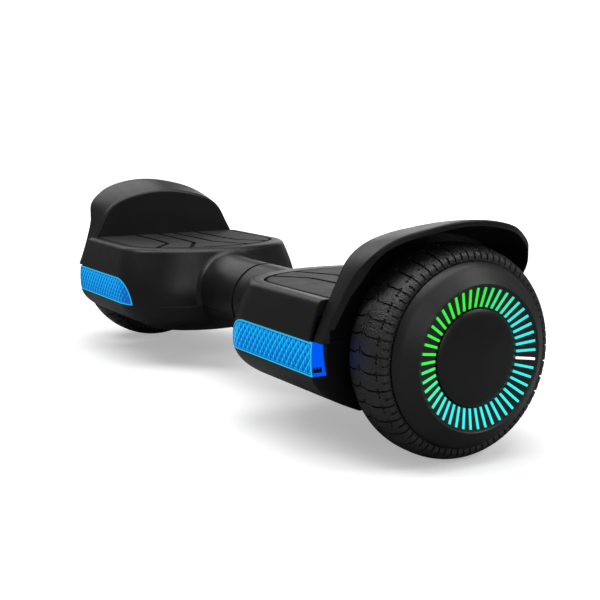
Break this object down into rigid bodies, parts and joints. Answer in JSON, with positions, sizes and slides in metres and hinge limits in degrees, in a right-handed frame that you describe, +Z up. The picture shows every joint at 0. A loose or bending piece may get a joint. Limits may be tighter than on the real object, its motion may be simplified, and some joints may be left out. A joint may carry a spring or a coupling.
{
  "type": "self balancing hoverboard",
  "caption": "Self-balancing hoverboard: twisting halves with foot pads, mudguards, front lights and lit hub-motor wheels.",
  "frame": {"origin": "on the floor, midway between the two wheels", "axes": "+X along the wheel axles to the rider's left, -Y forwards to the side with the lights, +Z up"},
  "size_m": [0.6292, 0.1982, 0.1779],
  "materials": {
    "shell": "satin black moulded plastic",
    "blue_lens": "clear blue polycarbonate",
    "circuit": "green solder mask",
    "cast_frame": "as cast, blasted",
    "steel": "turned",
    "fixing": "black oxide",
    "pad_rubber": "moulded matt",
    "tyre_rubber": "moulded tread",
    "hub_metal": "cast and painted dark grey",
    "lamination": "stamped sheet",
    "magnet": "nickel plated",
    "copper": "enamelled wire",
    "trim": "satin dark grey",
    "diffuser": "translucent light guide",
    "cap_plastic": "satin dark grey",
    "battery_wrap": "blue shrink wrap over metal cells",
    "bronze": "sintered bearing bronze",
    "port_plastic": "moulded black",
    "port_rubber": "moulded matt",
    "button_plastic": "moulded",
    "bearing_steel": "ground"
  },
  "bodies": {
    "left_half": {"top_cover_left": "shell", "bottom_cover_left": "shell", "fender_left": "shell", "front_lens_left": "blue_lens", "light_strip_left": "circuit", "chassis_left": "cast_frame", "axle_clamp_left": "cast_frame", "clamp_bolts_left": "fixing", "sensor_board_left": "circuit", "axle_left": "steel", "stator_core_left": "lamination", "stator_windings_left": "copper", "cover_screws_left": "fixing", "frame_screws_left": "fixing", "main_board": "circuit", "speaker": "port_plastic", "pivot_shaft": "steel", "pivot_sleeve": "steel", "stop_plate": "steel"},
    "right_half": {"top_cover_right": "shell", "bottom_cover_right": "shell", "fender_right": "shell", "front_lens_right": "blue_lens", "light_strip_right": "circuit", "chassis_right": "cast_frame", "axle_clamp_right": "cast_frame", "clamp_bolts_right": "fixing", "sensor_board_right": "circuit", "axle_right": "steel", "stator_core_right": "lamination", "stator_windings_right": "copper", "cover_screws_right": "fixing", "frame_screws_right": "fixing", "pivot_bushing": "bronze", "stop_pins": "steel", "battery_pack": "battery_wrap", "battery_strap": "cast_frame", "charge_port": "port_plastic", "cap_pin": "steel", "power_switch": "port_plastic"},
    "left_wheel": {"hub_shell_left": "hub_metal", "side_cover_left": "hub_metal", "wheel_bearings_left": "bearing_steel", "tyre_left": "tyre_rubber", "wheel_cover_left": "trim", "light_ring_left": "diffuser", "hub_cap_left": "cap_plastic", "magnet_ring_left": "magnet"},
    "right_wheel": {"hub_shell_right": "hub_metal", "side_cover_right": "hub_metal", "wheel_bearings_right": "bearing_steel", "tyre_right": "tyre_rubber", "wheel_cover_right": "trim", "light_ring_right": "diffuser", "hub_cap_right": "cap_plastic", "magnet_ring_right": "magnet"},
    "left_pad": {"foot_pad_left": "pad_rubber"},
    "right_pad": {"foot_pad_right": "pad_rubber"},
    "power_button": {"power_button": "button_plastic"},
    "port_cap": {"port_cap": "port_rubber"}
  },
  "joints": [
    {"name": "half_twist", "type": "hinge", "parent": "left_half", "child": "right_half", "pos_m": [0, 0, 0.077], "axis": [1, 0, 0], "range_deg": [-12, 12], "stiffness_Nm_per_rad": 8},
    {"name": "left_wheel_spin", "type": "hinge", "parent": "left_half", "child": "left_wheel", "pos_m": [0.2789, 0, 0.08], "axis": [1, 0, 0], "continuous": true},
    {"name": "right_wheel_spin", "type": "hinge", "parent": "right_half", "child": "right_wheel", "pos_m": [-0.2789, 0, 0.08], "axis": [1, 0, 0], "continuous": true},
    {"name": "left_pad_press", "type": "slide", "parent": "left_half", "child": "left_pad", "axis": [0, 0, -1], "range_m": [0, 0.0015], "stiffness_N_per_m": 20000},
    {"name": "right_pad_press", "type": "slide", "parent": "right_half", "child": "right_pad", "axis": [0, 0, -1], "range_m": [0, 0.0015], "stiffness_N_per_m": 20000},
    {"name": "power_press", "type": "slide", "parent": "right_half", "child": "power_button", "axis": [0, -1, 0], "range_m": [0, 0.0015], "stiffness_N_per_m": 800},
    {"name": "port_cap_hinge", "type": "hinge", "parent": "right_half", "child": "port_cap", "pos_m": [-0.168, 0.0932, 0.0925], "axis": [1, 0, 0], "range_deg": [0, 90]}
  ]
}
